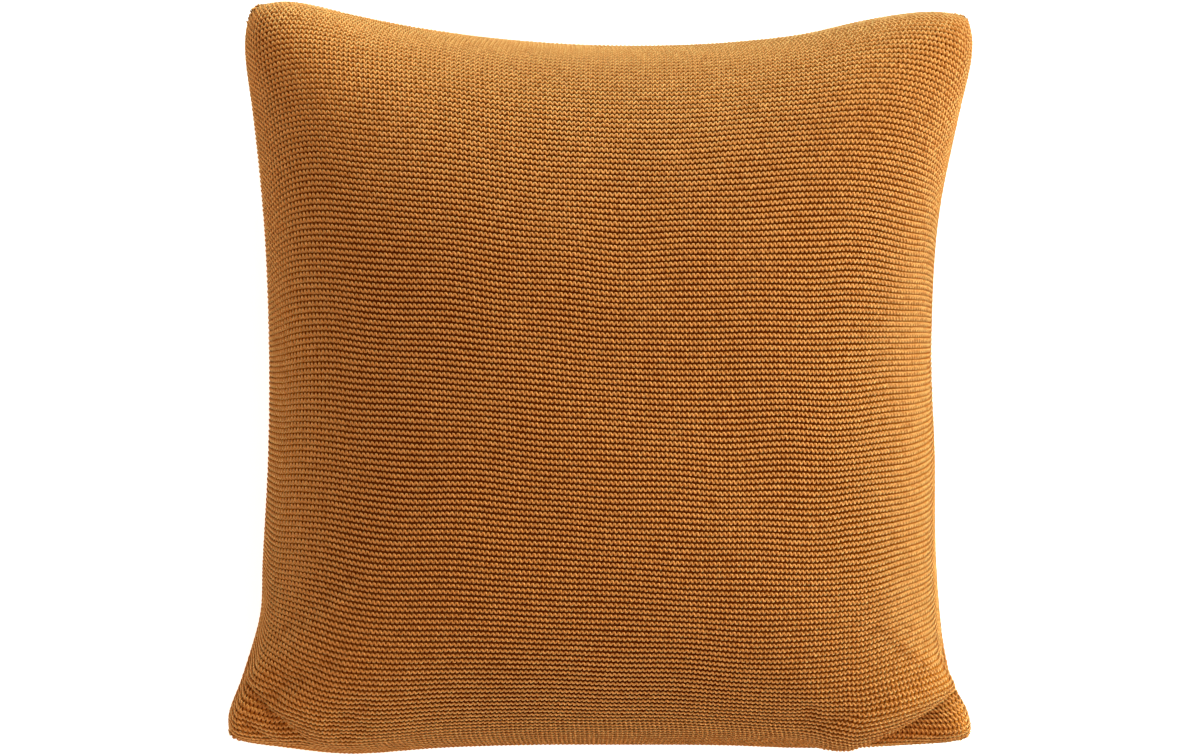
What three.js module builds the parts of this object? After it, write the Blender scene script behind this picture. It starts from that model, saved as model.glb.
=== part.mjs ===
// Knitted square cushion, lying on its back with its face up.
// Millimetres. +X runs to the right across the face, +Y to the cushion's top edge, +Z up out of the face.
// The origin is on the surface that the cushion lies on, under the middle of its outline.

import * as THREE from 'three';
import { ParametricGeometry } from 'three/addons/geometries/ParametricGeometry.js';
import { mergeGeometries, mergeVertices } from 'three/addons/utils/BufferGeometryUtils.js';

// Driving sizes
const HALF_SPAN = 250; // half of the square cover, from its middle to a corner's side
const FACE_CROWN = 90; // middle of the face above the seam
const BACK_CROWN = 80; // middle of the back below the seam, before the weight presses it flat
const SEAM_HEIGHT = 60; // seam above the surface that the cushion lies on
const PRESS_BLEND = 7; // height over which the back turns into its flat resting spot
const EAR_DROOP = 6; // how far the thin corners hang below the rest of the seam
const EAR_POWER = 3; // higher keeps that droop closer to the corners
const GRID_CELLS = 54; // cells along each side of a panel
const WELD_DISTANCE = 1e-3; // points of the two panels this close are one point of the seam

// How far the corners are drawn in, and for each corner a sharpness: higher rounds it less.
const CORNER_PULL = 0.8;
const CORNER_SHARPNESS = { topLeft: 7, topRight: 7.5, bottomLeft: 13, bottomRight: 16 };

// Fullness of the filling: a higher power keeps the middle flatter, a higher fall makes a sharper edge.
const FULLNESS = {
  across: { power: 2.4, fall: 0.52 },
  along: { power: 3, fall: 0.58 },
};

// Where the left and right seams run, section by section up the cushion.
const SIDE_SECTIONS = [
  { up: -250, left: -255.5, right: 257 },
  { up: -228, left: -251, right: 249 },
  { up: -208, left: -242, right: 237.5 },
  { up: -188, left: -235, right: 232 },
  { up: -165, left: -228.5, right: 228.5 },
  { up: -128, left: -226.5, right: 225.5 },
  { up: -60, left: -223, right: 224.5 },
  { up: 20, left: -222.5, right: 222 },
  { up: 110, left: -227, right: 228 },
  { up: 170, left: -234.2, right: 241.5 },
  { up: 222, left: -244.3, right: 256.5 },
  { up: 250, left: -247, right: 261 },
];

// Where the bottom and top seams run, section by section across the cushion.
const END_SECTIONS = [
  { across: -250, bottom: -245, top: 258.2 },
  { across: -218, bottom: -245, top: 254.3 },
  { across: -168, bottom: -249.5, top: 240 },
  { across: -102, bottom: -246, top: 228 },
  { across: -50, bottom: -245, top: 223 },
  { across: 10, bottom: -245.5, top: 221 },
  { across: 80, bottom: -246.5, top: 224 },
  { across: 130, bottom: -248.5, top: 230.5 },
  { across: 162, bottom: -248.5, top: 238.5 },
  { across: 220, bottom: -247, top: 251 },
  { across: 250, bottom: -247.5, top: 256 },
];

// Creases of the face where the lower corners fold against the full body. Each runs from the side to the
// bottom along a line bowed towards the corner, takes away a share of the lift there, and reaches further
// over the corner's ear than into the body.
const CREASES = [
  { fromX: 244, fromY: -199, toX: 146, toY: -245, bow: 9, pinch: 0.66, bodyReach: 18, earReach: 30 },
  { fromX: -240, fromY: -199, toX: -190, toY: -248, bow: 1, pinch: 0.42, bodyReach: 14, earReach: 13 },
  { fromX: -240, fromY: -225, toX: -208, toY: -248, bow: 1, pinch: 0.36, bodyReach: 11, earReach: 11 },
  { fromX: -236, fromY: -164, toX: -208, toY: -212, bow: 0, pinch: 0.18, bodyReach: 16, earReach: 10 },
];

// Shares of a crease's length over which it deepens at the side and fades out towards the bottom.
const CREASE_START = { from: -0.12, to: 0.12 };
const CREASE_END = { from: 0.75, to: 1.08 };

const CREASE_RIM = 0.12; // share of the crown below which a crease fades out, so that the seam keeps its lip

/** A smooth function through one column of a table of sections. */
function curveThrough(sections, along, column) {
  const places = sections.map((section) => section[along]);
  const values = sections.map((section) => section[column]);
  const curve = new THREE.CubicInterpolant(places, values, 1);
  return (place) => curve.evaluate(place)[0];
}

const leftSeam = curveThrough(SIDE_SECTIONS, 'up', 'left');
const rightSeam = curveThrough(SIDE_SECTIONS, 'up', 'right');
const bottomSeam = curveThrough(END_SECTIONS, 'across', 'bottom');
const topSeam = curveThrough(END_SECTIONS, 'across', 'top');

/** Where a point of a panel lies in plan; a and b run from -1 to 1 across and along the panel. */
function planPoint(a, b) {
  const sharpness = CORNER_SHARPNESS[(b > 0 ? 'top' : 'bottom') + (a > 0 ? 'Right' : 'Left')];
  const rounding = 1 - (CORNER_PULL * Math.abs(a * b) ** sharpness) / (2 * sharpness + 1);
  const across = a * rounding;
  const along = b * rounding;
  const left = leftSeam(along * HALF_SPAN);
  const right = rightSeam(along * HALF_SPAN);
  const bottom = bottomSeam(across * HALF_SPAN);
  const top = topSeam(across * HALF_SPAN);
  const x = THREE.MathUtils.mapLinear(across, -1, 1, left, right);
  const y = THREE.MathUtils.mapLinear(along, -1, 1, bottom, top);
  return new THREE.Vector2(x, y);
}

/** One axis of the crown: 1 in the middle of the panel and 0 at the seam. */
function fullnessAt(place, { power, fall }) {
  return Math.max(0, 1 - Math.abs(place) ** power) ** fall;
}

/** Share of the crown's height that a panel has at (a, b), blunt at the corners and 0 all along the seam. */
function crownShare(a, b) {
  const across = fullnessAt(a, FULLNESS.across);
  const along = fullnessAt(b, FULLNESS.along);
  const both = across * along;
  return both > 0 ? both / (across + along - both) : 0;
}

/** Height of the seam line, which hangs lower at the four thin corners. */
function seamHeight(a, b) {
  return SEAM_HEIGHT - EAR_DROOP * Math.abs(a * b) ** EAR_POWER;
}

/** Share of the lift that a crease leaves to the face, at a point of the plan and its share of the crown. */
function liftKept(point, crown, crease) {
  const start = new THREE.Vector2(crease.fromX, crease.fromY);
  const chord = new THREE.Vector2(crease.toX, crease.toY).sub(start);
  const length = chord.length();
  chord.normalize();
  const bodySide = new THREE.Vector2(-chord.y, chord.x);
  if (bodySide.y < 0) bodySide.negate();
  const offset = point.clone().sub(start);
  const share = offset.dot(chord) / length;
  const bow = 4 * crease.bow * share * (1 - share);
  const distance = offset.dot(bodySide) + bow;
  const reach = distance > 0 ? crease.bodyReach : crease.earReach;
  const fadeIn = THREE.MathUtils.smoothstep(share, CREASE_START.from, CREASE_START.to);
  const fadeOut = 1 - THREE.MathUtils.smoothstep(share, CREASE_END.from, CREASE_END.to);
  const free = fadeIn * fadeOut * THREE.MathUtils.smoothstep(crown, 0, CREASE_RIM);
  return 1 - crease.pinch * free * Math.exp(-((distance / reach) ** 2));
}

/** Sets target to the face panel's point; s and t run from 0 to 1, closer together near the seam. */
function facePoint(s, t, target) {
  const a = Math.sin((s - 0.5) * Math.PI);
  const b = Math.sin((t - 0.5) * Math.PI);
  const plan = planPoint(a, b);
  const crown = crownShare(a, b);
  const kept = CREASES.reduce((share, crease) => share * liftKept(plan, crown, crease), 1);
  target.set(plan.x, plan.y, seamHeight(a, b) + FACE_CROWN * crown * kept);
}

/** Sets target to the back panel's point, pressed flat where it lies on the surface. */
function backPoint(s, t, target) {
  const a = Math.sin((0.5 - s) * Math.PI);
  const b = Math.sin((t - 0.5) * Math.PI);
  const plan = planPoint(a, b);
  const height = seamHeight(a, b) - BACK_CROWN * crownShare(a, b);
  const pressed = Math.max(0, height + PRESS_BLEND) ** 2 / (4 * PRESS_BLEND);
  target.set(plan.x, plan.y, height > PRESS_BLEND ? height : pressed);
}

/** The two panels sewn into one closed solid, with its outline centred over the origin. */
function cushionGeometry() {
  const panels = [facePoint, backPoint].map((panel) => new ParametricGeometry(panel, GRID_CELLS, GRID_CELLS));
  for (const panel of panels) {
    panel.deleteAttribute('normal');
    panel.deleteAttribute('uv');
  }
  const geometry = mergeVertices(mergeGeometries(panels), WELD_DISTANCE);
  geometry.computeBoundingBox();
  const middle = geometry.boundingBox.getCenter(new THREE.Vector3());
  geometry.translate(-middle.x, -middle.y, 0);
  geometry.computeVertexNormals();
  return geometry;
}

const knittedCotton = new THREE.MeshStandardMaterial({ color: 0xb8762f, roughness: 0.95, metalness: 0 });

const cushion = new THREE.Mesh(cushionGeometry(), knittedCotton);
cushion.name = 'cushion';

const knittedCushion = new THREE.Group();
knittedCushion.add(cushion);

export default knittedCushion;
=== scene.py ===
"""A knitted cushion, dressed for its picture: a filled cover with every ridge of its garter stitch.

Metres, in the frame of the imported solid: +X runs right across the face, +Y to the cushion's top edge and
+Z up out of the face. The cushion lies on its back.
"""

import logging
import math
from collections.abc import Mapping
from dataclasses import dataclass, field
from enum import Enum

import bpy
import numpy as np
from mathutils import Matrix, Vector


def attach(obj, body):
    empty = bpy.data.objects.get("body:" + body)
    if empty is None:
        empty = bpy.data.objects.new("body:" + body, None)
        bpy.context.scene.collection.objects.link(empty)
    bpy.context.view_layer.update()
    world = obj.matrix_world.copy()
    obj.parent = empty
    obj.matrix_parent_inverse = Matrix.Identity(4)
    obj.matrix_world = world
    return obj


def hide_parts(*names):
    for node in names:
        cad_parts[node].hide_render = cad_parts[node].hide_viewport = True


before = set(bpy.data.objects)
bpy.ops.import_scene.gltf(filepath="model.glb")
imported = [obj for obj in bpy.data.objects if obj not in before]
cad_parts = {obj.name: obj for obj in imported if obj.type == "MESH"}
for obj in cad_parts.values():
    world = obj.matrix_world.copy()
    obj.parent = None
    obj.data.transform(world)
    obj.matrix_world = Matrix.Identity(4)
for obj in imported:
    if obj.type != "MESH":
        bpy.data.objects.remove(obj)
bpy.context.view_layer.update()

LOG = logging.getLogger("knitted_cushion")
CAD_NODE = "cushion"
BODY = "root"
TINY = 1e-9  # keeps a division safe where a length or a share shrinks to nothing


class Panel(Enum):
    """The two knitted squares sewn into the cover; the value is the side of the seam that each bulges to."""

    FACE = 1
    BACK = -1


class Corner(Enum):
    """The four corners; the value is the side of the middle that each lies on, across and along."""

    TOP_LEFT = (-1, 1)
    TOP_RIGHT = (1, 1)
    BOTTOM_LEFT = (-1, -1)
    BOTTOM_RIGHT = (1, -1)


@dataclass(frozen=True)
class SideSection:
    """Where the left and right seams lie at one height up the cushion."""

    up: float
    left: float
    right: float


@dataclass(frozen=True)
class EndSection:
    """Where the bottom and top seams lie at one place across the cushion."""

    across: float
    bottom: float
    top: float


@dataclass(frozen=True)
class Ear:
    """One thin corner: a higher sharpness rounds it less, and rows in its reach close up by the slack."""

    corner: Corner
    sharpness: float
    slack: float
    reach: float


@dataclass(frozen=True)
class EdgePull:
    """How far the side seams draw a ridge towards the cushion's foot, at a share of the height.

    The edges' pulls are felt close to the seams only, the others well into the panel.
    """

    at: float
    left: float
    right: float
    left_edge: float
    right_edge: float


@dataclass(frozen=True)
class Crease:
    """A fold of the face between the full body and a corner's ear.

    It runs from a side to the bottom along a line bowed towards the corner and takes away a share of the
    lift there. The body's lip rolls out over the line, and the ear is tucked under it.
    """

    start: tuple[float, float]
    end: tuple[float, float]
    bow: float
    pinch: float
    body_reach: float
    ear_reach: float
    roll: float = 0.0
    fade: tuple[float, float] = (0.75, 1.08)


SIDE_SECTIONS = (
    SideSection(up=-0.250, left=-0.2555, right=0.257),
    SideSection(up=-0.228, left=-0.251, right=0.249),
    SideSection(up=-0.208, left=-0.242, right=0.2375),
    SideSection(up=-0.188, left=-0.235, right=0.232),
    SideSection(up=-0.165, left=-0.2285, right=0.2285),
    SideSection(up=-0.128, left=-0.2265, right=0.2255),
    SideSection(up=-0.060, left=-0.223, right=0.2245),
    SideSection(up=0.020, left=-0.2225, right=0.222),
    SideSection(up=0.110, left=-0.227, right=0.228),
    SideSection(up=0.170, left=-0.2342, right=0.2415),
    SideSection(up=0.222, left=-0.2443, right=0.2565),
    SideSection(up=0.250, left=-0.247, right=0.261),
)

END_SECTIONS = (
    EndSection(across=-0.250, bottom=-0.245, top=0.2582),
    EndSection(across=-0.218, bottom=-0.245, top=0.2543),
    EndSection(across=-0.168, bottom=-0.2495, top=0.240),
    EndSection(across=-0.102, bottom=-0.246, top=0.228),
    EndSection(across=-0.050, bottom=-0.245, top=0.223),
    EndSection(across=0.010, bottom=-0.2455, top=0.221),
    EndSection(across=0.080, bottom=-0.2465, top=0.224),
    EndSection(across=0.130, bottom=-0.2485, top=0.2305),
    EndSection(across=0.162, bottom=-0.2485, top=0.2385),
    EndSection(across=0.220, bottom=-0.247, top=0.251),
    EndSection(across=0.250, bottom=-0.2475, top=0.256),
)

EARS = (
    Ear(Corner.TOP_LEFT, sharpness=7, slack=0.32, reach=0.110),
    Ear(Corner.TOP_RIGHT, sharpness=7.5, slack=0.39, reach=0.110),
    Ear(Corner.BOTTOM_LEFT, sharpness=13, slack=0.12, reach=0.070),
    Ear(Corner.BOTTOM_RIGHT, sharpness=16, slack=0.42, reach=0.070),
)

EDGE_PULLS = (
    EdgePull(0.00, left=0.000, right=0.000, left_edge=0.000, right_edge=0.000),
    EdgePull(0.05, left=0.000, right=-0.009, left_edge=-0.005, right_edge=-0.004),
    EdgePull(0.12, left=0.001, right=-0.028, left_edge=-0.012, right_edge=0.002),
    EdgePull(0.30, left=0.011, right=-0.005, left_edge=0.003, right_edge=-0.009),
    EdgePull(0.50, left=0.021, right=0.018, left_edge=0.000, right_edge=-0.018),
    EdgePull(0.70, left=0.022, right=0.035, left_edge=0.003, right_edge=-0.013),
    EdgePull(0.88, left=0.020, right=0.027, left_edge=0.001, right_edge=0.005),
    EdgePull(1.00, left=0.000, right=0.000, left_edge=0.000, right_edge=0.000),
)

CREASES = (
    Crease((0.244, -0.199), (0.146, -0.252), 0.0055, 0.94, 0.019, 0.021, roll=0.0055, fade=(0.80, 1.12)),
    Crease((-0.240, -0.199), (-0.190, -0.248), 0.001, 0.42, 0.018, 0.013, roll=0.002),
    Crease((-0.240, -0.225), (-0.208, -0.248), 0.001, 0.36, 0.012, 0.010, roll=0.001),
    Crease((-0.236, -0.164), (-0.208, -0.212), 0.0, 0.18, 0.026, 0.010),
)


def linear_colour(hex_colour: str) -> tuple[float, float, float, float]:
    """Turns an sRGB hex colour into linear light.

    Args:
        hex_colour: six hex digits, such as "b8762f".

    Returns:
        Linear red, green and blue, and an alpha of 1.
    """
    srgb = [int(hex_colour[i : i + 2], 16) / 255 for i in (0, 2, 4)]
    red, green, blue = (c / 12.92 if c <= 0.04045 else ((c + 0.055) / 1.055) ** 2.4 for c in srgb)
    return red, green, blue, 1.0


def add_node(
    tree: bpy.types.NodeTree,
    kind: str,
    inputs: Mapping[str | int, object] | None = None,
    **settings: object,
) -> bpy.types.Node:
    """Adds a node to a tree with its settings, values and links.

    Args:
        tree: a shader or geometry tree.
        kind: the node's type name.
        inputs: for each input, by name or index, a value or the output socket that feeds it.
        **settings: the node's own properties.

    Returns:
        The new node.
    """
    node = tree.nodes.new(kind)
    for name, value in settings.items():
        setattr(node, name, value)
    for key, value in (inputs or {}).items():
        if isinstance(value, bpy.types.NodeSocket):
            tree.links.new(value, node.inputs[key])
        else:
            node.inputs[key].default_value = value
    return node


def column(table: tuple[object, ...], name: str) -> np.ndarray:
    """Takes one field from every row of a table."""
    return np.array([getattr(row, name) for row in table])


def smooth_curve(places: np.ndarray, values: np.ndarray, at: np.ndarray) -> np.ndarray:
    """Follows a smooth curve through a short table.

    Args:
        places: where the table gives a value, in rising order.
        values: the table's values.
        at: where the curve is wanted.

    Returns:
        The curve's value at each wanted place.
    """
    slopes = np.gradient(values, places)
    row = np.clip(np.searchsorted(places, at) - 1, 0, len(places) - 2)
    span = places[row + 1] - places[row]
    t = (at - places[row]) / span
    start = (1 + 2 * t) * (1 - t) ** 2 * values[row] + t * (1 - t) ** 2 * span * slopes[row]
    end = t**2 * (3 - 2 * t) * values[row + 1] + t**2 * (t - 1) * span * slopes[row + 1]
    return start + end


def smooth_step(value: np.ndarray, low: float, high: float) -> np.ndarray:
    """Rises softly from 0 at low to 1 at high."""
    t = np.clip((value - low) / (high - low), 0, 1)
    return t * t * (3 - 2 * t)


def bell(distance: np.ndarray, reach: float | np.ndarray) -> np.ndarray:
    """Falls softly from 1 at no distance to about a third at the reach."""
    return np.exp(-((distance / reach) ** 2))


def soft_noise(x: np.ndarray, y: np.ndarray, wavelength: float, seed: int) -> np.ndarray:
    """Makes gentle unevenness from a handful of waves that cross at random angles.

    Args:
        x: places across.
        y: places along.
        wavelength: the middle wavelength, in the units of x and y.
        seed: picks the waves.

    Returns:
        Values of about -1 to 1.
    """
    waves = 9
    shortest, longest = 0.7, 1.6
    rng = np.random.default_rng(seed)
    angles = rng.uniform(0, math.tau, waves)
    lengths = wavelength * rng.uniform(shortest, longest, waves)
    phases = rng.uniform(0, math.tau, waves)
    total = np.zeros(np.broadcast_shapes(x.shape, y.shape))
    for angle, length, phase in zip(angles, lengths, phases, strict=True):
        total += np.cos(math.tau * (x * math.cos(angle) + y * math.sin(angle)) / length + phase)
    return total / math.sqrt(2 * waves)


def cubic_weights(count: int, places: np.ndarray) -> np.ndarray:
    """Weighs an even row of points so that a smooth curve through them can be read anywhere.

    Args:
        count: how many points the row has.
        places: where the curve is wanted, from 0 at the first point to 1 at the last.

    Returns:
        A matrix that turns the row's points into the curve's.
    """
    at = places * (count - 1)
    first = np.clip(np.floor(at).astype(int), 0, count - 2)
    t = at - first
    shares = {
        -1: (-t + 2 * t**2 - t**3) / 2,
        0: (2 - 5 * t**2 + 3 * t**3) / 2,
        1: (t + 4 * t**2 - 3 * t**3) / 2,
        2: (t**3 - t**2) / 2,
    }
    weights = np.zeros((len(places), count))
    rows = np.arange(len(places))
    for step, share in shares.items():
        column = first + step
        inside = np.clip(column, 0, count - 1)
        beyond = column - inside
        weights[rows, inside] += share * (1 + np.abs(beyond))
        weights[rows, np.clip(inside - beyond, 0, count - 1)] -= share * np.abs(beyond)
    return weights


def resampled(grid: np.ndarray, rows: np.ndarray, columns: np.ndarray) -> np.ndarray:
    """Reads a grid of points at other places.

    Args:
        grid: the points, row by row.
        rows: the wanted places along the columns, from 0 to 1.
        columns: the wanted places along the rows, from 0 to 1.

    Returns:
        The points at every wanted row and column.
    """
    along = np.tensordot(cubic_weights(grid.shape[0], rows), grid, axes=1)
    return cubic_weights(grid.shape[1], columns) @ along


def softened(grid: np.ndarray) -> np.ndarray:
    """Blends every point of a grid with its neighbours, in both directions.

    Args:
        grid: the points, row by row.

    Returns:
        The blended points.
    """
    padded = np.pad(grid, ((1, 1), (1, 1), (0, 0)), mode="edge")
    blended = (padded[:-2] + 2 * padded[1:-1] + padded[2:]) / 4
    return (blended[:, :-2] + 2 * blended[:, 1:-1] + blended[:, 2:]) / 4


def seam_directions(grid: np.ndarray) -> np.ndarray:
    """Finds which way the seam faces in plan, all around a panel.

    Args:
        grid: the panel's points.

    Returns:
        Level unit vectors that point out of the cushion along the grid's edge, and zeros inside it.
    """
    outward = np.zeros_like(grid)
    for edge, side in ((np.s_[0, :], 1), (np.s_[-1, :], -1), (np.s_[:, 0], -1), (np.s_[:, -1], 1)):
        along = np.gradient(grid[edge], axis=0)
        along /= np.linalg.norm(along, axis=1, keepdims=True)
        outward[edge] += side * along @ np.array(((0, -1, 0), (1, 0, 0), (0, 0, 0)))
    return outward / np.maximum(np.linalg.norm(outward, axis=-1, keepdims=True), TINY)


def outward_directions(grid: np.ndarray, panel: Panel) -> np.ndarray:
    """Finds which way a panel's surface faces, safely where its cells shrink to slivers at the corners.

    Args:
        grid: the points, with rows from bottom to top and columns from left to right.
        panel: the face or the back.

    Returns:
        Unit vectors that point out of the cushion, level along the seam.
    """
    facing = np.cross(np.gradient(grid, axis=1), np.gradient(grid, axis=0)) * panel.value
    facing = softened(softened(facing))
    facing /= np.linalg.norm(facing, axis=-1, keepdims=True)
    seam = seam_directions(grid)
    return np.where(np.any(seam, axis=-1, keepdims=True), seam, facing)


def guide_mesh(points: np.ndarray, attributes: Mapping[str, np.ndarray], ring: bool) -> bpy.types.Mesh:
    """Draws lines of points that carry what the yarn needs to know at each of them.

    Args:
        points: the points, one line in each row.
        attributes: for each name, a number or a vector for every point.
        ring: whether each line closes on itself.

    Returns:
        A mesh of edges with the attributes.
    """
    index = np.arange(points[..., 0].size).reshape(points.shape[:2])
    edges = np.stack((index, np.roll(index, -1, axis=1)), axis=-1)
    edges = edges if ring else edges[:, :-1]
    mesh = bpy.data.meshes.new("ridge_lines")
    mesh.vertices.add(index.size)
    mesh.edges.add(edges.size // 2)
    mesh.vertices.foreach_set("co", points.ravel())
    mesh.edges.foreach_set("vertices", edges.ravel())
    for name, values in attributes.items():
        kind, key = ("FLOAT_VECTOR", "vector") if values.ndim == 3 else ("FLOAT", "value")
        mesh.attributes.new(name, kind, "POINT").data.foreach_set(key, values.ravel())
    mesh.update()
    return mesh


def sewn_mesh(name: str, face: np.ndarray, back: np.ndarray) -> bpy.types.Mesh:
    """Sews two grids of points together along their edges.

    Args:
        name: the mesh's name.
        face: the face panel's points.
        back: the back panel's points, with the same edge.

    Returns:
        One closed mesh: the face's points row by row, then the inner points of the back.
    """
    rows, columns = face.shape[:2]
    face_index = np.arange(rows * columns).reshape(rows, columns)
    back_index = face_index.copy()
    inner = np.arange((rows - 2) * (columns - 2)).reshape(rows - 2, columns - 2)
    back_index[1:-1, 1:-1] = rows * columns + inner
    vertices = np.concatenate((face.reshape(-1, 3), back[1:-1, 1:-1].reshape(-1, 3)))
    quads = []
    for index, turned in ((face_index, False), (back_index, True)):
        corners = (index[:-1, :-1], index[:-1, 1:], index[1:, 1:], index[1:, :-1])
        quads.append(np.stack(corners[::-1] if turned else corners, axis=-1).reshape(-1, 4))
    mesh = bpy.data.meshes.new(name)
    mesh.from_pydata(vertices.tolist(), [], np.concatenate(quads).tolist())
    mesh.update()
    return mesh


@dataclass(frozen=True)
class PanelSurface:
    """One panel's surface under the yarn: its points, row by row, and the way each faces."""

    panel: Panel
    points: np.ndarray
    outward: np.ndarray

    def lifted(self, rows: np.ndarray, columns: np.ndarray) -> tuple[np.ndarray, np.ndarray]:
        """Reads the surface at other places.

        Args:
            rows: the wanted places along the columns, from 0 to 1.
            columns: the wanted places along the rows, from 0 to 1.

        Returns:
            The points at every wanted row and column, and the way each faces.
        """
        points, outward = (resampled(grid, rows, columns) for grid in (self.points, self.outward))
        return points, outward / np.linalg.norm(outward, axis=-1, keepdims=True)


@dataclass(frozen=True)
class CushionForm:
    """The filled cover's form as formulas over each panel, from -1 to 1 across (a) and along (b)."""

    half_span: float = 0.250
    corner_pull: float = 0.8  # how far the corners are drawn in
    face_crown: float = 0.090  # middle of the face above the seam
    back_crown: float = 0.080  # middle of the back below the seam, before the weight presses it flat
    seam_height: float = 0.060
    press_blend: float = 0.007  # height over which the back turns into its flat resting spot
    ear_droop: float = 0.006  # how far the thin corners hang below the rest of the seam
    ear_power: float = 3.0  # higher keeps that droop closer to the corners
    # Fullness of the filling: a higher first value keeps the middle flatter, a higher second one makes a
    # sharper edge.
    across_fullness: tuple[float, float] = (2.4, 0.52)
    along_fullness: tuple[float, float] = (3.0, 0.58)
    crease_start: tuple[float, float] = (-0.12, 0.12)  # shares of a crease's length over which it deepens
    # Weights in a crease's roll: of its lip, of the shoulder above the lip and of the ear tucked under it.
    lip_roll: float = 3.7
    shoulder_roll: float = 2.8
    tuck: float = 0.3
    lip_sink: float = 0.9  # share of the crease's pinch that the lip takes
    rim: float = 0.12  # share of the crown below which a crease fades out, so that the seam keeps its line
    lump_depth: float = 0.0012
    lump_width: float = 0.110
    lump_seed: int = 3

    def plan(self, a: np.ndarray, b: np.ndarray) -> tuple[np.ndarray, np.ndarray]:
        """Places points of a panel in plan.

        Args:
            a: places across the panel.
            b: places along the panel.

        Returns:
            Their x and y.
        """
        sides = [ear.corner.value for ear in EARS]
        quarters = [(a * across >= 0) & (b * along >= 0) for across, along in sides]
        sharpness = np.select(quarters, [ear.sharpness for ear in EARS])
        rounding = 1 - self.corner_pull * np.abs(a * b) ** sharpness / (2 * sharpness + 1)
        across, along = a * rounding, b * rounding
        ups, acrosses = column(SIDE_SECTIONS, "up"), column(END_SECTIONS, "across")
        left, right = (
            smooth_curve(ups, column(SIDE_SECTIONS, side), along * self.half_span)
            for side in ("left", "right")
        )
        bottom, top = (
            smooth_curve(acrosses, column(END_SECTIONS, end), across * self.half_span)
            for end in ("bottom", "top")
        )
        x = left + (right - left) * (across + 1) / 2
        y = bottom + (top - bottom) * (along + 1) / 2
        return x, y

    def crown_share(self, a: np.ndarray, b: np.ndarray) -> np.ndarray:
        """Gives the share of the crown's height at each place.

        Args:
            a: places across the panel.
            b: places along the panel.

        Returns:
            Shares of 0 to 1, blunt at the corners and 0 all along the seam.
        """
        power, fall = self.across_fullness
        across = np.clip(1 - np.abs(a) ** power, 0, 1) ** fall
        power, fall = self.along_fullness
        along = np.clip(1 - np.abs(b) ** power, 0, 1) ** fall
        both = across * along
        return both / np.maximum(across + along - both, TINY)

    def body(self, panel: Panel, a: np.ndarray, b: np.ndarray) -> np.ndarray:
        """Gives the cover's outer surface before it folds.

        Args:
            panel: the face or the back.
            a: places across the panel.
            b: places along the panel.

        Returns:
            One point for each place, in the last axis.
        """
        x, y = self.plan(a, b)
        share = self.crown_share(a, b)
        seam = self.seam_height - self.ear_droop * np.abs(a * b) ** self.ear_power
        if panel is Panel.FACE:
            return np.stack((x, y, seam + self.face_crown * share), axis=-1)
        height = seam - self.back_crown * share
        pressed = np.maximum(0, height + self.press_blend) ** 2 / (4 * self.press_blend)
        return np.stack((x, y, np.where(height > self.press_blend, height, pressed)), axis=-1)

    def crease_places(
        self, crease: Crease, x: np.ndarray, y: np.ndarray
    ) -> tuple[np.ndarray, np.ndarray, np.ndarray]:
        """Sets points of the plan against a crease.

        Args:
            crease: the crease.
            x: the points' places across.
            y: the points' places along.

        Returns:
            How strong the crease is at each point's share of its length, the distance from its line,
            positive towards the body, and the direction from the line to the body.
        """
        start = np.array(crease.start)
        chord = np.array(crease.end) - start
        length = float(np.linalg.norm(chord))
        chord /= length
        body_side = np.array((-chord[1], chord[0]))
        if body_side[1] < 0:
            body_side = -body_side
        offset = np.stack((x - start[0], y - start[1]), axis=-1)
        share = offset @ chord / length
        distance = offset @ body_side + 4 * crease.bow * share * (1 - share)
        strength = smooth_step(share, *self.crease_start) * (1 - smooth_step(share, *crease.fade))
        return strength, distance, body_side

    def folded(self, panel: Panel, a: np.ndarray, b: np.ndarray) -> np.ndarray:
        """Gives the cover's outer surface with its folds and the lumps of its filling.

        Args:
            panel: the face or the back.
            a: places across the panel.
            b: places along the panel.

        Returns:
            One point for each place, in the last axis.
        """
        points = self.body(panel, a, b)
        if panel is Panel.BACK:
            return points
        x, y = points[..., 0].copy(), points[..., 1].copy()
        share = self.crown_share(a, b)
        kept = np.ones_like(x)
        for crease in CREASES:
            strength, distance, body_side = self.crease_places(crease, x, y)
            near = np.clip(1 - distance / crease.body_reach, 0, 1)
            lip = 3 * near**2 * (1 - near)
            shoulder = 3 * near * (1 - near) ** 2
            under = bell(np.minimum(distance, 0), crease.ear_reach)
            sunk = np.where(distance > 0, near**3 + self.lip_sink * lip, under)
            tucked = self.tuck * np.where(distance > 0, near**3, under)
            rolled = self.lip_roll * lip + self.shoulder_roll * shoulder - tucked
            free = strength * smooth_step(share, 0.0, self.rim)
            kept *= 1 - crease.pinch * free * sunk
            points[..., :2] -= crease.roll * (rolled * free)[..., None] * body_side
        lumps = self.lump_depth * soft_noise(x, y, self.lump_width, self.lump_seed)
        points[..., 2] += (lumps - self.face_crown * (1 - kept)) * share
        return points


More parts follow.
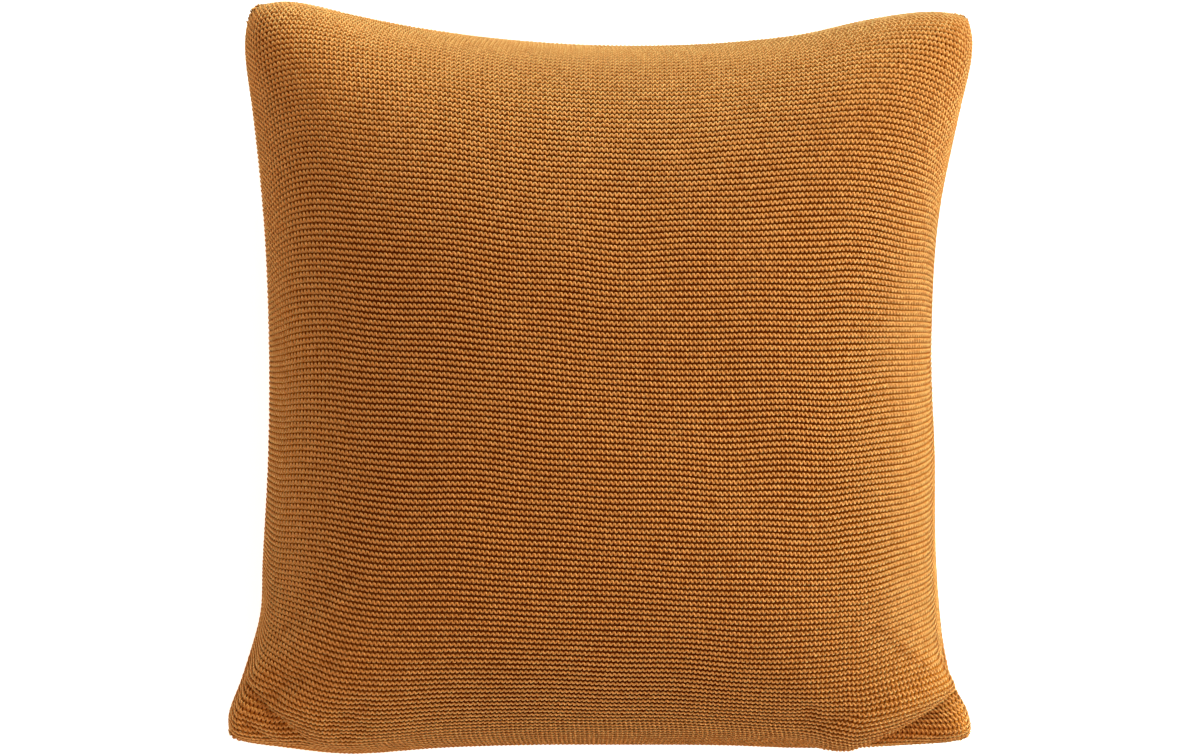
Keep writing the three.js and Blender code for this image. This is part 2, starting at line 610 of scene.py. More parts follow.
@dataclass(frozen=True)
class KnitLayout:
    """How the stitches lie on the cover: stretched over the crown, slack in the ears, drawn in by seams."""

    stitches: int = 173  # in each ridge
    ridges: int = 146  # on each panel
    cells: int = 240  # along each side of the grid that the knit is laid out on
    passes: int = 5  # each spaces the grid more closely to what is wanted
    blends: int = 3  # how often a fold's stretch is blended with that of the lines beside it
    fold_reach: float = 0.060  # how far a fold's stretch is shared out along a line
    column_length: float = 0.545  # over the crown, from seam to seam
    ridge_length: float = 0.545
    ear_width: float = 0.190  # how far across an ear's slack is felt
    seam_slack: float = 0.18  # how far the ridges close up towards the bottom and top seams
    seam_reach: float = 0.027
    pull_reach: float = 0.105  # how far into the panel the side seams' pulls are felt
    edge_reach: float = 0.045
    side_reach: float = 0.060  # how far from the side seams the yarn fills the gaps between the ridges
    ear_reach: float = 0.130
    lean: float = 0.035  # slope of the middle ridges, falling to the right
    sway: float = 0.0010  # how far a ridge strays from its line
    sway_length: float = 0.075
    sway_seed: int = 11

    def reached(self, steps: np.ndarray) -> np.ndarray:
        """Adds up steps along each row of a grid, as shares of the row's whole length."""
        runs = np.concatenate((np.zeros((len(steps), 1)), np.cumsum(steps, axis=1)), axis=1)
        return runs / runs[:, -1:]

    def respaced(
        self, steps: np.ndarray, a: np.ndarray, b: np.ndarray, shares: np.ndarray
    ) -> tuple[np.ndarray, np.ndarray]:
        """Moves the places along each row of a grid to given shares of the row's length.

        Args:
            steps: the length from each place to the next, row by row.
            a: places across the panel.
            b: places along the panel.
            shares: the wanted share of the row's length for each place.

        Returns:
            The moved places.
        """
        runs = self.reached(steps)
        moved = [[np.interp(*row) for row in zip(shares, runs, part, strict=True)] for part in (a, b)]
        return np.array(moved[0]), np.array(moved[1])

    def eased(self, folded: np.ndarray, wanted: np.ndarray) -> np.ndarray:
        """Measures how far the folds stretch each step along the rows of a grid.

        Args:
            folded: the steps' lengths on the folded surface.
            wanted: the lengths that the knit would have without folds.

        Returns:
            The stretch of each step against the mean stretch around it.
        """
        stretch = folded / wanted
        for _ in range(self.blends):
            beside = np.pad(stretch, ((1, 1), (0, 0)), mode="edge")
            stretch = (beside[:-2] + 2 * stretch + beside[2:]) / 4
        places = np.arange(self.cells) * self.column_length / self.cells
        around = bell(places[:, None] - places, self.fold_reach)
        return stretch / (stretch @ (around / around.sum(axis=0)))

    def closure(self, up: np.ndarray, across: np.ndarray) -> np.ndarray:
        """Tells how far the ridges close up: fully along the side seams, less in the ears, not on the crown.

        Args:
            up: shares of the height, from 0 to 1.
            across: shares of the width, from 0 to 1.

        Returns:
            Shares of 0 to 1, for every height and every place across.
        """
        from_side = np.minimum(across, 1 - across) * self.ridge_length
        from_end = np.minimum(up, 1 - up)[:, None] * self.column_length
        in_ear = bell(from_side, self.ear_reach) * bell(from_end, self.ear_reach)
        return np.maximum(bell(from_side, self.side_reach), in_ear)

    def slack_shares(self, even: np.ndarray) -> np.ndarray:
        """Spaces the ridges along each column by how far the knit is stretched there.

        Args:
            even: evenly spaced shares, from 0 to 1.

        Returns:
            For each column, from left to right, the share of its length that each ridge has reached.
        """
        from_side = {-1: even[:, None] * self.ridge_length, 1: (1 - even)[:, None] * self.ridge_length}
        from_end = {-1: even * self.column_length, 1: (1 - even) * self.column_length}
        slack = sum(
            ear.slack
            * bell(from_side[ear.corner.value[0]], self.ear_width)
            * bell(from_end[ear.corner.value[1]], ear.reach)
            for ear in EARS
        )
        middle = 4 * (even * (1 - even))[:, None]
        seams = sum(bell(distance, self.seam_reach) for distance in from_end.values())
        pitch = 1 - slack - self.seam_slack * middle * seams
        return self.reached((pitch[:, 1:] + pitch[:, :-1]) / 2)

    def column_shares(self, even: np.ndarray) -> np.ndarray:
        """Spaces the ridges along each column and lets the side seams pull them out of line.

        Args:
            even: evenly spaced shares, from 0 to 1.

        Returns:
            For each column, from left to right, the share of its length that each ridge has reached.
        """
        at = column(EDGE_PULLS, "at")
        from_left = even[:, None] * self.ridge_length
        from_right = (1 - even)[:, None] * self.ridge_length
        reaches = (
            ("left", from_left, self.pull_reach),
            ("right", from_right, self.pull_reach),
            ("left_edge", from_left, self.edge_reach),
            ("right_edge", from_right, self.edge_reach),
        )
        pull = sum(
            smooth_curve(at, column(EDGE_PULLS, side), even) * bell(distance, reach)
            for side, distance, reach in reaches
        )
        fall = self.lean * (from_left - from_right) / 2
        sway = self.sway * soft_noise(from_left, even * self.column_length, self.sway_length, self.sway_seed)
        return self.slack_shares(even) - (pull + (fall + sway) * 4 * even * (1 - even)) / self.column_length

    def grid(self, form: CushionForm, panel: Panel) -> np.ndarray:
        """Lays the knit's grid over a panel.

        Args:
            form: the cushion's form.
            panel: the face or the back.

        Returns:
            The grid's points, with rows from bottom to top and columns from left to right.
        """
        even = np.linspace(0, 1, self.cells + 1)
        a, b = np.meshgrid(np.sin((even - 0.5) * math.pi), np.sin((even - 0.5) * math.pi))
        along_rows = np.broadcast_to(even, a.shape)
        along_columns = self.column_shares(even)
        for _ in range(self.passes):
            steps = np.linalg.norm(np.diff(form.body(panel, a, b), axis=1), axis=2)
            a, b = self.respaced(steps, a, b, along_rows)
            steps = np.linalg.norm(np.diff(form.body(panel, a, b), axis=0), axis=2)
            a, b = (part.T for part in self.respaced(steps.T, a.T, b.T, along_columns))
        wanted = [np.linalg.norm(np.diff(form.body(panel, a, b), axis=axis), axis=2) for axis in (0, 1)]
        for _ in range(self.passes):
            steps = np.linalg.norm(np.diff(form.folded(panel, a, b), axis=1), axis=2)
            a, b = self.respaced(self.eased(steps, wanted[1]), a, b, along_rows)
            steps = np.linalg.norm(np.diff(form.folded(panel, a, b), axis=0), axis=2)
            a, b = (part.T for part in self.respaced(self.eased(steps.T, wanted[0].T), a.T, b.T, along_rows))
        return form.folded(panel, a, b)


@dataclass(frozen=True)
class CottonYarn:
    """Combed cotton yarn, dyed ochre and softly twisted, with a bloom of fibres."""

    name: str = "combed_cotton_yarn_ochre"
    crest_colour: str = "d58f4f"
    hollow_colour: str = "b06418"
    roughness: float = 0.9
    gloss: float = 0.2
    sheen: float = 1.0
    sheen_roughness: float = 0.35
    sheen_colour: str = "ffe6a0"
    fleck_size: float = 0.004
    fleck_detail: float = 3.0
    fleck_range: tuple[float, float] = (0.3, 0.7)  # part of the noise that runs from hollow to crest
    least_crest: float = 0.4
    fibre_size: float = 0.0007  # real fibres are 0.02 mm thick; drawn coarser, so that they still show
    fibre_depth: float = 0.0001

    def material(self) -> bpy.types.Material:
        """Builds the material: a dyed colour that flecks from stitch to stitch, on a fibrous surface.

        Returns:
            The yarn's material.
        """
        # The eye gets a matt ochre that glows golden where light grazes the stitches.
        material = bpy.data.materials.new(self.name)
        material.use_nodes = True
        tree = material.node_tree
        tree.nodes.clear()
        place = add_node(tree, "ShaderNodeTexCoord").outputs["Object"]
        flecks = add_node(
            tree,
            "ShaderNodeTexNoise",
            {"Vector": place, "Scale": 1 / self.fleck_size, "Detail": self.fleck_detail},
        )
        low, high = self.fleck_range
        tone = add_node(
            tree,
            "ShaderNodeMapRange",
            {0: flecks.outputs["Fac"], "From Min": low, "From Max": high, "To Min": self.least_crest},
        )
        colour = add_node(
            tree,
            "ShaderNodeMix",
            {
                "Factor": tone.outputs[0],
                6: linear_colour(self.hollow_colour),
                7: linear_colour(self.crest_colour),
            },
            data_type="RGBA",
        )
        fibres = add_node(tree, "ShaderNodeTexNoise", {"Vector": place, "Scale": 1 / self.fibre_size})
        relief = add_node(
            tree,
            "ShaderNodeBump",
            {"Height": fibres.outputs["Fac"], "Distance": self.fibre_depth, "Strength": 1.0},
        )
        shader = add_node(
            tree,
            "ShaderNodeBsdfPrincipled",
            {
                "Base Color": colour.outputs[2],
                "Roughness": self.roughness,
                "Specular IOR Level": self.gloss,
                "Sheen Weight": self.sheen,
                "Sheen Roughness": self.sheen_roughness,
                "Sheen Tint": linear_colour(self.sheen_colour),
                "Normal": relief.outputs[0],
            },
        )
        add_node(tree, "ShaderNodeOutputMaterial", {"Surface": shader.outputs["BSDF"]})
        return material


@dataclass(frozen=True)
class KnitGround:
    """The sunk rows between the ridges: the same yarn, darkened in its colour as painted shade of its
    hollows.
    """

    name: str = "combed_cotton_knit_ground"
    # Painted shade: the colour and the gap colour are the yarn's hue darkened to stand in for the shadow
    # deep between the ridges.
    colour: str = "783808"
    painted_gap_shade_colour: str = "582202"
    closed_colour: str = "cd8439"
    # Painted shade: where the ridges close up, a dark spot of the ground's colour is left at each stitch for
    # the hole's shadow.
    painted_hole_shares: tuple[float, float] = (0.08, 0.28)  # shares of a stitch: dark to the first, filled past the second
    roughness: float = 0.95
    fleck_size: float = 0.003

    def material(self) -> bpy.types.Material:
        """Builds the material: a dark flecked colour that is painted shade, and where the ridges close up,
        the yarn's own colour with a painted dark spot of shade at every stitch.

        Returns:
            The ground's material.
        """
        # The eye gets the deep brown shade between the ridges, painted into the colour, and rows of small
        # dark dots in the ears, painted shade of the holes.
        material = bpy.data.materials.new(self.name)
        material.use_nodes = True
        tree = material.node_tree
        tree.nodes.clear()
        place = add_node(tree, "ShaderNodeTexCoord").outputs["Object"]
        flecks = add_node(tree, "ShaderNodeTexNoise", {"Vector": place, "Scale": 1 / self.fleck_size})
        # Painted shade: dark flecked colour standing in for the shadow between the ridges.
        colour = add_node(
            tree,
            "ShaderNodeMix",
            {
                "Factor": flecks.outputs["Fac"],
                6: linear_colour(self.painted_gap_shade_colour),
                7: linear_colour(self.colour),
            },
            data_type="RGBA",
        )
        # Where the ridges close up, the gap takes the yarn's own closed colour, apart from a painted dark
        # spot of shade at every stitch.
        closed = add_node(tree, "ShaderNodeAttribute", attribute_name="closed")
        wale = add_node(tree, "ShaderNodeAttribute", attribute_name="wale")
        half_stitch = 0.5
        beside = add_node(
            tree, "ShaderNodeMath", {0: wale.outputs["Fac"], 1: half_stitch}, operation="PINGPONG"
        )
        dark, filled = self.painted_hole_shares
        fill = add_node(
            tree,
            "ShaderNodeMapRange",
            {0: beside.outputs[0], "From Min": dark, "From Max": filled, "To Max": closed.outputs["Fac"]},
        )
        shade = add_node(
            tree,
            "ShaderNodeMix",
            {"Factor": fill.outputs[0], 6: colour.outputs[2], 7: linear_colour(self.closed_colour)},
            data_type="RGBA",
        )
        shader = add_node(
            tree,
            "ShaderNodeBsdfPrincipled",
            {"Base Color": shade.outputs[2], "Roughness": self.roughness, "Specular IOR Level": 0.0},
        )
        add_node(tree, "ShaderNodeOutputMaterial", {"Surface": shader.outputs["BSDF"]})
        return material


@dataclass
class FilledCover:
    """The sewn cover as one closed padded form, ribbed under the ridges of yarn that stand on it."""

    form: CushionForm = field(default_factory=CushionForm)
    layout: KnitLayout = field(default_factory=KnitLayout)
    yarn_rise: float = 0.0024  # how far the yarn stands above the cover
    rib_height: float = 0.0009
    valley_fill: float = 0.0010  # how far the valleys between the ribs fill where the ridges close up
    seam_tuck: float = 0.0025
    tip_tuck: float = 0.002  # how much further the four tips are tucked in
    tip_power: float = 60.0  # higher keeps that closer to the tips
    rib_columns: int = 68
    side_crowding: float = 0.6
    fill: float = 0.8
    pad_stride: int = 4  # cells of the knit's grid to each cell of the pad
    pressure: float = 4.0
    swell: float = 0.003  # the most that the filling moves a point
    settling_frames: int = 20

    def settled(self, grids: Mapping[Panel, np.ndarray]) -> dict[Panel, np.ndarray]:
        """Lets the filling swell the cover, held at its seam and where it lies on the floor.

        Args:
            grids: each panel's points.

        Returns:
            Each panel's points after the filling has settled.
        """
        face, back = (grids[panel][:: self.pad_stride, :: self.pad_stride] for panel in Panel)
        mesh = sewn_mesh("filled_pad", face, back)
        pad = bpy.data.objects.new("filled_pad", mesh)
        scene = bpy.context.scene
        scene.collection.objects.link(pad)
        rest = np.array([vertex.co for vertex in mesh.vertices])
        side = face.shape[0]
        edge = np.ones((side, side), dtype=bool)
        edge[1:-1, 1:-1] = False
        held = np.concatenate((edge.ravel(), np.zeros((side - 2) ** 2, dtype=bool)))
        held |= rest[:, 2] < self.form.press_blend
        group = pad.vertex_groups.new(name="held")
        group.add(np.flatnonzero(held).tolist(), 1.0, "REPLACE")
        cloth = pad.modifiers.new("filling", "CLOTH")
        cloth.settings.use_pressure = True
        cloth.settings.uniform_pressure_force = self.pressure
        cloth.settings.effector_weights.gravity = 0.0
        cloth.settings.vertex_group_mass = group.name
        for step in range(1, self.settling_frames + 1):
            scene.frame_set(step)
        made = pad.evaluated_get(bpy.context.evaluated_depsgraph_get()).to_mesh()
        move = np.array([vertex.co for vertex in made.vertices]) - rest
        scene.frame_set(1)
        bpy.data.objects.remove(pad)
        bpy.data.meshes.remove(mesh)
        length = np.linalg.norm(move, axis=1, keepdims=True)
        LOG.info("filling: %.1f mm at most, %.1f mm in the mean", 1000 * length.max(), 1000 * length.mean())
        move *= np.minimum(1, self.swell / np.maximum(length, TINY))
        moves = {panel: np.zeros((side, side, 3)) for panel in Panel}
        moves[Panel.FACE][:] = move[: side * side].reshape(side, side, 3)
        moves[Panel.BACK][1:-1, 1:-1] = move[side * side :].reshape(side - 2, side - 2, 3)
        fine = np.linspace(0, 1, grids[Panel.FACE].shape[0])
        return {panel: grid + resampled(moves[panel], fine, fine) for panel, grid in grids.items()}

    def surface(self, panel: Panel, grid: np.ndarray) -> PanelSurface:
        """Sinks a panel by the height that the yarn stands on it.

        Args:
            panel: the face or the back.
            grid: the panel's outer points.

        Returns:
            The panel's surface under the yarn.
        """
        outward = outward_directions(grid, panel)
        return PanelSurface(panel, grid - self.yarn_rise * outward, outward)

    def rib_places(self) -> tuple[np.ndarray, np.ndarray]:
        """Spaces the cover's own grid over a panel.

        Returns:
            A row for every rib and every valley, and columns that crowd at the sides, where the cover folds.
        """
        even = np.linspace(0, 1, self.rib_columns + 1)
        columns = even - self.side_crowding * np.sin(math.tau * even) / math.tau
        return np.linspace(0, 1, 2 * self.layout.ridges + 1), columns

    def ribbed(self, surface: PanelSurface) -> np.ndarray:
        """Raises a rib under every ridge of a panel and tucks the seam in between the outermost ridges.

        Args:
            surface: the panel's surface under the yarn.

        Returns:
            The points of the cover's own grid.
        """
        rows, columns = self.rib_places()
        points, outward = surface.lifted(rows, columns)
        rise = self.valley_fill * self.layout.closure(rows, columns)
        rise[1::2] = np.maximum(rise[1::2], self.rib_height)
        edge = np.ones(rise.shape, dtype=bool)
        edge[1:-1, 1:-1] = False
        tip = np.abs(np.multiply.outer(2 * rows - 1, 2 * columns - 1)) ** self.tip_power
        rise = np.where(edge, -self.seam_tuck, rise) - self.tip_tuck * tip
        return points + rise[..., None] * outward

    def build(self) -> tuple[bpy.types.Object, list[PanelSurface]]:
        """Lays out, fills and sews the cover.

        Returns:
            The cover, and the surface of each panel under the yarn.
        """
        grids = {panel: self.layout.grid(self.form, panel) for panel in Panel}
        low, high = (limit(grids[Panel.FACE], axis=(0, 1)) for limit in (np.min, np.max))
        middle = (low + high) / 2 * np.array((1.0, 1.0, 0.0))
        grids = {panel: grid - middle for panel, grid in grids.items()}
        grids = self.settled(grids)
        surfaces = [self.surface(panel, grid) for panel, grid in grids.items()]
        mesh = sewn_mesh("knitted_cover", *(self.ribbed(surface) for surface in surfaces))
        rows, columns = self.rib_places()
        wales = np.broadcast_to(self.layout.stitches * columns, (len(rows), len(columns)))
        for name, values in {"closed": self.layout.closure(rows, columns), "wale": wales}.items():
            values = np.concatenate((values.ravel(), values[1:-1, 1:-1].ravel()))
            mesh.attributes.new(name, "FLOAT", "POINT").data.foreach_set("value", values)
        cover = bpy.data.objects.new("knitted_cover", mesh)
        bpy.context.scene.collection.objects.link(cover)
        return cover, surfaces

    def dress(self, cover: bpy.types.Object, finish: KnitGround) -> None:
        """Gives the cover its finish, sets it in the frame and hides the imported solid that it stands for.

        Args:
            cover: the sewn cover.
            finish: the finish of the knit's ground, whose dark colour is painted shade.
        """
        cover.data.materials.append(finish.material())
        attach(cover, BODY)
        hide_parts(CAD_NODE)


@dataclass
class GarterRidges:
    """The yarn that stands on the cover: the raised ridges of garter stitch and the line that sews the seam.

    Each ridge is one zigzag of yarn from side seam to side seam.
    """

    layout: KnitLayout = field(default_factory=KnitLayout)
    yarn_radius: float = 0.00075
    zigzag: float = 0.00105  # how far the yarn steps up and down across its ridge
    lift: float = 0.0020  # the yarn's middle above the cover
    sink: float = 0.00050  # how far the yarn rises and dips within a stitch
    sink_phase: float = math.radians(45)
    slack_zigzag: float = 0.33  # the widest zigzag, as a share of the space between ridges
    slack_pitch: float = 0.0030  # space between ridges below which the yarn thins
    closed_zigzag: float = 0.22  # how much wider and thicker the yarn is where the ridges close up
    closed_girth: float = 0.10
    stitch_shift: float = 0.06  # how far a bend strays, as a share of a stitch
    unevenness: float = 0.16
    seam_stitch: float = 0.0042
    seam_radius: float = 0.0010
    seam_zigzag: float = 0.0010
    seam_lift: float = 0.0016
    tip_girth: float = 0.9  # how much thicker the seam's yarn is at the four tips
    tip_reach: float = 0.006
    back_seed: int = 1000  # sets the back's uneven stitches apart from the face's
    sides: int = 3  # of the yarn's section
    # Where the yarn bends in each stitch, and how many pieces each panel's ridges are in.
    bends: dict[Panel, tuple[float, ...]] = field(
        default_factory=lambda: {Panel.FACE: (0.1, 0.4, 0.6, 0.9), Panel.BACK: (0.0, 0.5)}
    )
    bands: dict[Panel, int] = field(default_factory=lambda: {Panel.FACE: 4, Panel.BACK: 2})

    def tree(self) -> bpy.types.NodeTree:
        """Builds the tree that lays yarn along guide lines, stepping up and down at every stitch.

        Returns:
            The tree, with the yarn's sizes and material as its inputs.
        """
        tree = bpy.data.node_groups.new("garter_ridges", "GeometryNodeTree")
        sockets = {
            "Geometry": "NodeSocketGeometry",
            "Yarn Radius": "NodeSocketFloat",
            "Zigzag": "NodeSocketFloat",
            "Lift": "NodeSocketFloat",
            "Sink": "NodeSocketFloat",
            "Sides": "NodeSocketInt",
            "Yarn": "NodeSocketMaterial",
        }
        for name, kind in sockets.items():
            tree.interface.new_socket(name, in_out="INPUT", socket_type=kind)
        tree.interface.new_socket("Geometry", in_out="OUTPUT", socket_type="NodeSocketGeometry")
        given = add_node(tree, "NodeGroupInput").outputs
        kinds = {"step": "FLOAT_VECTOR", "outward": "FLOAT_VECTOR", "over": "FLOAT", "girth": "FLOAT"}
        named = {
            key: add_node(tree, "GeometryNodeInputNamedAttribute", {"Name": key}, data_type=kind).outputs[0]
            for key, kind in kinds.items()
        }
        along = add_node(
            tree, "ShaderNodeVectorMath", {0: named["step"], "Scale": given["Zigzag"]}, operation="SCALE"
        )
        height = add_node(
            tree,
            "ShaderNodeMath",
            {0: named["over"], 1: given["Sink"], 2: given["Lift"]},
            operation="MULTIPLY_ADD",
        )
        move = add_node(
            tree,
            "ShaderNodeVectorMath",
            {0: named["outward"], 1: height.outputs[0], 2: along.outputs[0]},
            operation="MULTIPLY_ADD",
        )
        placed = add_node(
            tree, "GeometryNodeSetPosition", {"Geometry": given["Geometry"], "Offset": move.outputs[0]}
        )
        lines = add_node(tree, "GeometryNodeMeshToCurve", {"Mesh": placed.outputs[0]})
        inward = add_node(
            tree, "ShaderNodeVectorMath", {0: named["outward"], "Scale": -1.0}, operation="SCALE"
        )
        upright = add_node(
            tree,
            "GeometryNodeSetCurveNormal",
            {"Curve": lines.outputs[0], "Normal": inward.outputs[0]},
            mode="FREE",
        )
        section = add_node(
            tree,
            "GeometryNodeCurvePrimitiveCircle",
            {"Resolution": given["Sides"], "Radius": given["Yarn Radius"]},
        )
        yarn = add_node(
            tree,
            "GeometryNodeCurveToMesh",
            {
                "Curve": upright.outputs[0],
                "Profile Curve": section.outputs[0],
                "Scale": named["girth"],
                "Fill Caps": True,
            },
        )
        smooth = add_node(tree, "GeometryNodeSetShadeSmooth", {"Geometry": yarn.outputs[0]})
        real = add_node(tree, "GeometryNodeRealizeInstances", {"Geometry": smooth.outputs[0]})
        dressed = add_node(
            tree, "GeometryNodeSetMaterial", {"Geometry": real.outputs[0], "Material": given["Yarn"]}
        )
        add_node(tree, "NodeGroupOutput", {"Geometry": dressed.outputs[0]})
        return tree

    def guides(self, surface: PanelSurface, rows: np.ndarray) -> bpy.types.Mesh:
        """Draws the middle lines of some ridges on a panel, with what the yarn needs to know at each point.

        Args:
            surface: the panel's surface under the yarn.
            rows: the ridges' numbers, counted from the bottom.

        Returns:
            A mesh of open lines with the attributes step, outward, over and girth.
        """
        bends = np.arange(self.layout.stitches)[:, None] + np.array(self.bends[surface.panel])
        turns = np.unique(np.concatenate(([0.0], bends.ravel(), [self.layout.stitches])))
        across = turns / self.layout.stitches
        half = 0.5 / self.layout.ridges
        (middle, outward), (below, _), (above, _) = (
            surface.lifted((rows + 0.5) / self.layout.ridges + step, across) for step in (0.0, -half, half)
        )
        wale = above - below
        pitch = np.linalg.norm(wale, axis=2, keepdims=True)
        rng = np.random.default_rng(int(rows[0]) + self.back_seed * (surface.panel is Panel.BACK))
        shift, swing, girth = rng.uniform(-1, 1, (3, len(rows), len(turns)))
        stitch = np.gradient(middle, axis=1) / np.gradient(turns)[:, None]
        middle += self.stitch_shift * shift[..., None] * stitch
        swing = np.cos(math.tau * turns) * (1 + self.unevenness * swing)
        closed = self.layout.closure((rows + 0.5) / self.layout.ridges, across)
        wide = np.minimum(1 + self.closed_zigzag * closed, self.slack_zigzag * pitch[..., 0] / self.zigzag)
        step = (swing * wide)[..., None] * wale / pitch
        girth = (1 + self.unevenness * girth) * (1 + self.closed_girth * closed)
        girth *= np.minimum(1, pitch[..., 0] / self.slack_pitch)
        over = np.broadcast_to(np.sin(math.tau * turns + self.sink_phase), girth.shape)
        values = {"step": step, "outward": outward, "over": over, "girth": girth}
        return guide_mesh(middle, values, ring=False)

    def seam_guide(self, surface: PanelSurface) -> bpy.types.Mesh:
        """Draws the line of the yarn that sews the panels together, wound over their edges.

        Args:
            surface: a panel's surface under the yarn.

        Returns:
            A mesh of one closed line with the attributes step, outward, over and girth.
        """
        ring, facing = (
            np.concatenate((grid[0, :-1], grid[:-1, -1], grid[-1, :0:-1], grid[:0:-1, 0]))
            for grid in (surface.points, surface.outward)
        )
        steps = np.linalg.norm(np.diff(ring, axis=0, append=ring[:1]), axis=1)
        reached = np.concatenate(([0.0], np.cumsum(steps)))
        bends = 2 * round(reached[-1] / self.seam_stitch)
        even = np.arange(bends) * reached[-1] / bends
        points, outward = (
            np.stack([np.interp(even, reached, np.append(part, part[0])) for part in line.T], axis=-1)[None]
            for line in (ring, facing)
        )
        outward *= self.seam_lift / self.lift / np.linalg.norm(outward, axis=-1, keepdims=True)
        swing = np.where(np.arange(bends) % 2, self.seam_zigzag, -self.seam_zigzag) / self.zigzag
        step = swing[None, :, None] * np.array((0.0, 0.0, 1.0))
        tips = surface.points[[0, 0, -1, -1], [0, -1, 0, -1]]
        from_tip = np.linalg.norm(points[0, :, None] - tips, axis=-1).min(axis=1)
        girth = self.seam_radius / self.yarn_radius * (1 + self.tip_girth * bell(from_tip, self.tip_reach))
        values = {"step": step, "outward": outward, "over": np.zeros((1, bends)), "girth": girth[None]}
        return guide_mesh(points, values, ring=True)

    def laid(
        self, name: str, guides: bpy.types.Mesh, tree: bpy.types.NodeTree, yarn: bpy.types.Material
    ) -> bpy.types.Object:
        """Lays yarn along guide lines.

        Args:
            name: the piece's name.
            guides: the lines.
            tree: the tree that lays the yarn.
            yarn: the yarn's material.

        Returns:
            The piece, as a plain mesh.
        """
        piece = bpy.data.objects.new(name, guides)
        bpy.context.scene.collection.objects.link(piece)
        modifier = piece.modifiers.new("ridges", "NODES")
        modifier.node_group = tree
        values = {
            "Yarn Radius": self.yarn_radius,
            "Zigzag": self.zigzag,
            "Lift": self.lift,
            "Sink": self.sink,
            "Sides": self.sides,
            "Yarn": yarn,
        }
        for item in tree.interface.items_tree:
            if item.in_out == "INPUT" and item.name in values:
                modifier[item.identifier] = values[item.name]
        graph = bpy.context.evaluated_depsgraph_get()
        made = bpy.data.meshes.new_from_object(piece.evaluated_get(graph), depsgraph=graph)
        made.name = name
        piece.modifiers.remove(modifier)
        piece.data = made
        bpy.data.meshes.remove(guides)
        return piece

    def build(self, surfaces: list[PanelSurface], finish: CottonYarn) -> list[bpy.types.Object]:
        """Knits every ridge of both panels, in bands, and sews the seam.

        Args:
            surfaces: each panel's surface under the yarn.
            finish: the yarn's finish.

        Returns:
            The bands and the seam's yarn.
        """
        tree = self.tree()
        yarn = finish.material()
        pieces = []
        for surface in surfaces:
            bands = np.array_split(np.arange(self.layout.ridges), self.bands[surface.panel])
            for number, rows in enumerate(bands, start=1):
                name = f"{surface.panel.name.lower()}_ridges_{number}"
                pieces.append(self.laid(name, self.guides(surface, rows), tree, yarn))
        pieces.append(self.laid("seam_yarn", self.seam_guide(surfaces[0]), tree, yarn))
        return pieces

    def dress(self, pieces: list[bpy.types.Object]) -> None:
        """Sets the yarn in the frame.

        Args:
            pieces: the bands and the seam's yarn.
        """
        for piece in pieces:
            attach(piece, BODY)


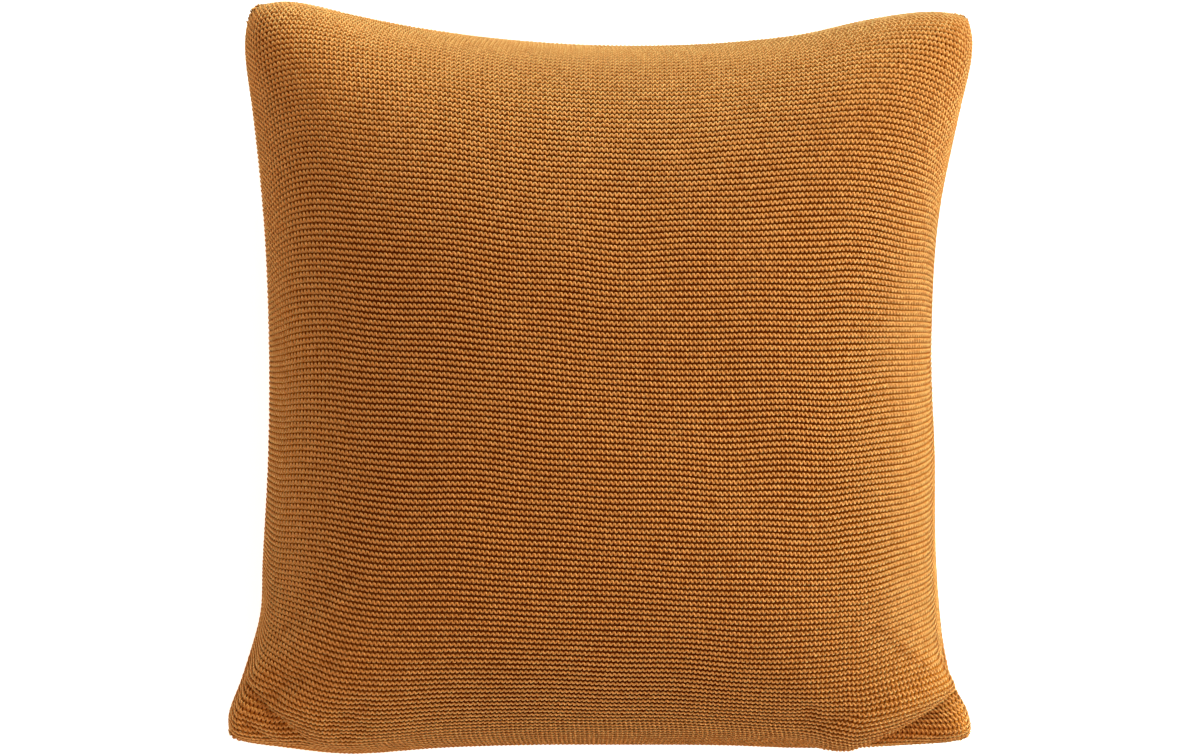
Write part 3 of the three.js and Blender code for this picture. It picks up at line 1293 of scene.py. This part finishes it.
@dataclass
class Studio:
    """A pale floor, soft light low from the upper right, and a long lens almost square to the face."""

    distance: float = 3.4
    far_limit: float = 20.0
    yaw: float = math.radians(7)
    aim: tuple[float, float, float] = (-0.0028, 0.0007, 0.060)
    frame_width: float = 0.800  # what the picture shows across, at the aim
    key_direction: tuple[float, float, float] = (0.78, 0.56, 0.18)
    key_strength: float = 9.9
    key_colour: str = "dff6e8"
    key_spread: float = math.radians(70)
    tent_strength: float = 1.16
    tent_colour: str = "ffe3c0"
    tent_tilt: tuple[float, float, float] = (0.34, -0.32, -0.47)  # where the tent is brighter, and how much
    floor_colour: str = "e8e7e5"
    floor_roughness: float = 0.9
    floor_glow: float = 1.05
    floor_size: float = 6.0

    def camera(self) -> None:
        """Sets the camera at the picture's angle to the face."""
        data = bpy.data.cameras.new("camera")
        data.lens = data.sensor_width * self.distance / self.frame_width
        data.clip_end = self.far_limit
        camera = bpy.data.objects.new("camera", data)
        back = Vector((-math.sin(self.yaw), 0.0, math.cos(self.yaw)))
        right = Vector((math.cos(self.yaw), 0.0, math.sin(self.yaw)))
        camera.location = Vector(self.aim) + back * self.distance
        camera.rotation_mode = "QUATERNION"
        camera.rotation_quaternion = Matrix((right, back.cross(right), back)).transposed().to_quaternion()
        bpy.context.scene.collection.objects.link(camera)
        bpy.context.scene.camera = camera

    def lights(self) -> None:
        """Hangs a cool key light and pitches a warm tent whose foot is brighter than its ceiling."""
        data = bpy.data.lights.new("key", "SUN")
        data.energy = self.key_strength
        data.color = linear_colour(self.key_colour)[:3]
        data.angle = self.key_spread
        key = bpy.data.objects.new("key", data)
        towards = Vector(self.key_direction).normalized()
        key.location = towards
        key.rotation_mode = "QUATERNION"
        key.rotation_quaternion = (-towards).to_track_quat("-Z", "Y")
        bpy.context.scene.collection.objects.link(key)
        world = bpy.data.worlds.new("light_tent")
        world.use_nodes = True
        tree = world.node_tree
        tree.nodes.clear()
        direction = add_node(tree, "ShaderNodeTexCoord").outputs["Generated"]
        tilt = add_node(
            tree, "ShaderNodeVectorMath", {0: direction, 1: self.tent_tilt}, operation="DOT_PRODUCT"
        )
        strength = add_node(
            tree, "ShaderNodeMath", {0: tilt.outputs["Value"], 1: self.tent_strength}, operation="ADD"
        )
        light = add_node(
            tree,
            "ShaderNodeBackground",
            {"Color": linear_colour(self.tent_colour), "Strength": strength.outputs[0]},
        )
        add_node(tree, "ShaderNodeOutputWorld", {"Surface": light.outputs[0]})
        bpy.context.scene.world = world
        bpy.context.scene.view_settings.view_transform = "Standard"

    def floor(self) -> None:
        """Lays the floor: matt pale paint, lit from below as a light table is."""
        half = self.floor_size / 2
        mesh = bpy.data.meshes.new("floor")
        corners = [(-half, -half, 0), (half, -half, 0), (half, half, 0), (-half, half, 0)]
        mesh.from_pydata(corners, [], [(0, 1, 2, 3)])
        # The eye gets an even white ground, with no edge and hardly a shadow.
        material = bpy.data.materials.new("matt_painted_floor")
        material.use_nodes = True
        shader = material.node_tree.nodes["Principled BSDF"]
        shader.inputs["Base Color"].default_value = linear_colour(self.floor_colour)
        shader.inputs["Roughness"].default_value = self.floor_roughness
        shader.inputs["Emission Color"].default_value = linear_colour(self.floor_colour)
        shader.inputs["Emission Strength"].default_value = self.floor_glow
        mesh.materials.append(material)
        floor = bpy.data.objects.new("floor", mesh)
        bpy.context.scene.collection.objects.link(floor)

    def build(self) -> None:
        """Sets up the whole studio."""
        self.camera()
        self.lights()
        self.floor()


def main() -> None:
    """Builds the cushion piece by piece, then the studio."""
    logging.basicConfig(level=logging.INFO, format="%(name)s: %(message)s")
    Studio().build()
    cover_maker = FilledCover()
    cover, surfaces = cover_maker.build()
    cover_maker.dress(cover, KnitGround())
    LOG.info("%s: %d faces", cover.name, len(cover.data.polygons))
    ridges = GarterRidges(layout=cover_maker.layout)
    pieces = ridges.build(surfaces, CottonYarn())
    ridges.dress(pieces)
    for piece in pieces:
        LOG.info("%s: %d faces", piece.name, len(piece.data.polygons))


if __name__ == "__main__":
    main()
